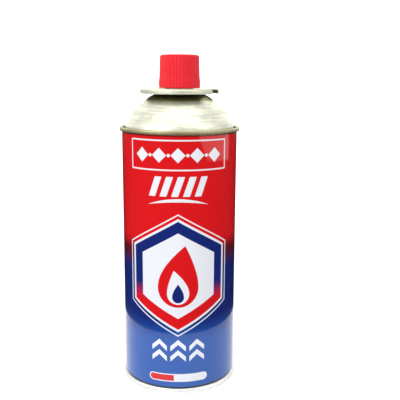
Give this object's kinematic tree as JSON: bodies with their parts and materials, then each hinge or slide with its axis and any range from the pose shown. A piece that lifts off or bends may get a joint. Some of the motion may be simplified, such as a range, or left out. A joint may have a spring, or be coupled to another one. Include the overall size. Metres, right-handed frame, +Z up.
{
  "type": "fuel canister",
  "caption": "Sealed butane cartridge with a double-seamed can, a notched bayonet flange, a sprung valve and a ribbed pull-off cap.",
  "frame": {"origin": "middle of the foot circle, on the surface that the canister stands on", "axes": "+Z up along the can's axis towards the cap; -Y towards the viewer of the picture; the flange's notch lies 22 degrees from +X towards -Y"},
  "size_m": [0.0688, 0.0688, 0.19],
  "materials": {
    "printed_can": "glossy printed tinplate",
    "tinplate": "bright lacquered tinplate",
    "seal_rubber": "matt black rubber",
    "housing_plastic": "natural nylon",
    "stem_brass": "turned brass",
    "spring_steel": "drawn wire",
    "cap_plastic": "satin moulded polyethylene"
  },
  "bodies": {
    "canister": {"can": "printed_can", "mounting_cup": "tinplate", "cup_gasket": "seal_rubber", "stem_gasket": "seal_rubber", "valve_housing": "housing_plastic", "valve_spring": "spring_steel"},
    "cap": {"cap": "cap_plastic"},
    "stem": {"valve_stem": "stem_brass"}
  },
  "joints": [
    {"name": "cap_pull", "type": "slide", "parent": "canister", "child": "cap", "axis": [0, 0, 1], "range_m": [0, 0.03]},
    {"name": "stem_press", "type": "slide", "parent": "canister", "child": "stem", "axis": [0, 0, -1], "range_m": [0, 0.0018], "stiffness_N_per_m": 1500, "springref_m": -0.001, "deforming": ["valve_spring"]}
  ]
}
